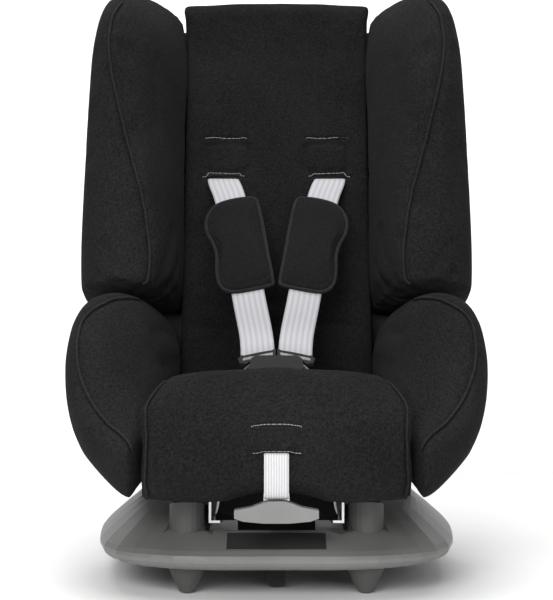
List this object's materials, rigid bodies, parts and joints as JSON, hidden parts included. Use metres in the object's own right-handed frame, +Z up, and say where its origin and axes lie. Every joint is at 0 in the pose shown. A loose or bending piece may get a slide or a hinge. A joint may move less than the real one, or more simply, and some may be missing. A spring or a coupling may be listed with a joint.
{
  "type": "convertible car seat",
  "caption": "Padded child car seat with head wings and a five-point harness, reclining on curved rails over a moulded base with a front pull handle.",
  "frame": {"origin": "on the floor under the middle of the object, centred across and front to back", "axes": "+Z up; the child faces -Y; +X is the child's left, the viewer's right from the front"},
  "size_m": [0.463, 0.4861, 0.6934],
  "materials": {
    "cover_fabric": "fine knitted cover, matt",
    "padding": "open-cell foam, matt",
    "webbing": "woven harness webbing",
    "dark_plastic": "fine moulded grain",
    "grey_plastic": "satin moulded grain",
    "light_plastic": "satin",
    "red_plastic": "satin",
    "steel": "zinc plated",
    "rubber": "matt"
  },
  "bodies": {
    "base": {"base_shell": "grey_plastic", "base_front_panel": "dark_plastic", "base_pan": "dark_plastic", "front_foot_right": "grey_plastic", "front_foot_left": "grey_plastic", "rear_foot_right": "rubber", "rear_foot_left": "rubber", "centre_stop": "rubber", "pan_screw_1": "steel", "pan_screw_2": "steel", "pan_screw_3": "steel", "pan_screw_4": "steel", "guide_block": "dark_plastic", "lock_rack": "steel", "belt_guide_right": "red_plastic", "belt_guide_left": "red_plastic"},
    "seat": {"back_cushion": "cover_fabric", "seat_cushion": "cover_fabric", "wing_cushion_right": "cover_fabric", "wing_cushion_left": "cover_fabric", "arm_cushion_right": "cover_fabric", "arm_cushion_left": "cover_fabric", "shoulder_pad_right": "cover_fabric", "shoulder_pad_left": "cover_fabric", "seat_foam": "padding", "back_foam": "padding", "shoulder_strap_right": "webbing", "shoulder_strap_left": "webbing", "lap_strap_right": "webbing", "lap_strap_left": "webbing", "crotch_strap": "webbing", "rear_strap": "webbing", "adjuster_strap": "webbing", "seat_shell": "dark_plastic", "bolt_housing": "dark_plastic", "runner_right": "dark_plastic", "runner_left": "dark_plastic", "buckle_body": "dark_plastic", "hook_rail_right": "steel", "hook_rail_left": "steel", "harness_yoke": "steel", "crotch_anchor": "steel", "lap_anchor_right": "steel", "lap_anchor_left": "steel", "adjuster_body": "steel"},
    "recline_handle": {"recline_handle": "light_plastic", "pull_rod": "steel"},
    "lock_bolt": {"lock_bolt": "steel"},
    "buckle_button": {"buckle_button": "red_plastic"},
    "tongue_right": {"buckle_tongue_right": "dark_plastic"},
    "tongue_left": {"buckle_tongue_left": "dark_plastic"},
    "adjuster_lever": {"adjuster_lever": "dark_plastic"},
    "lockoff_right": {"belt_lockoff_right": "red_plastic"},
    "lockoff_left": {"belt_lockoff_left": "red_plastic"}
  },
  "joints": [
    {"name": "recline", "type": "hinge", "parent": "base", "child": "seat", "pos_m": [0, -0.06, 0.52], "axis": [-1, 0, 0], "range_deg": [0, 10]},
    {"name": "handle_pull", "type": "slide", "parent": "seat", "child": "recline_handle", "axis": [0, -1, 0], "range_m": [0, 0.014], "stiffness_N_per_m": 500, "springref_m": -0.004},
    {"name": "bolt_lift", "type": "slide", "parent": "seat", "child": "lock_bolt", "axis": [0, 0, 1], "range_m": [0, 0.008]},
    {"name": "button_press", "type": "slide", "parent": "seat", "child": "buckle_button", "axis": [0, 0.7071, -0.7071], "range_m": [0, 0.004], "stiffness_N_per_m": 1500, "springref_m": -0.001},
    {"name": "tongue_right_release", "type": "slide", "parent": "seat", "child": "tongue_right", "axis": [0, 0.7071, 0.7071], "range_m": [0, 0.02], "deforming": ["shoulder_strap_right"]},
    {"name": "tongue_left_release", "type": "slide", "parent": "seat", "child": "tongue_left", "axis": [0, 0.7071, 0.7071], "range_m": [0, 0.02], "deforming": ["shoulder_strap_left"]},
    {"name": "adjuster_press", "type": "hinge", "parent": "seat", "child": "adjuster_lever", "pos_m": [0, -0.196, 0.157], "axis": [1, 0, 0], "range_deg": [0, 3.5], "stiffness_Nm_per_rad": 0.4, "springref_deg": -5.73},
    {"name": "lockoff_right_open", "type": "hinge", "parent": "seat", "child": "lockoff_right", "pos_m": [0.209, 0.066, 0.247], "axis": [0, 0, -1], "range_deg": [0, 70]},
    {"name": "lockoff_left_open", "type": "hinge", "parent": "seat", "child": "lockoff_left", "pos_m": [-0.209, 0.066, 0.247], "axis": [0, 0, 1], "range_deg": [0, 70]}
  ],
  "couplings": [
    {"joint": "bolt_lift", "follows": "handle_pull", "ratio": 0.571}
  ]
}
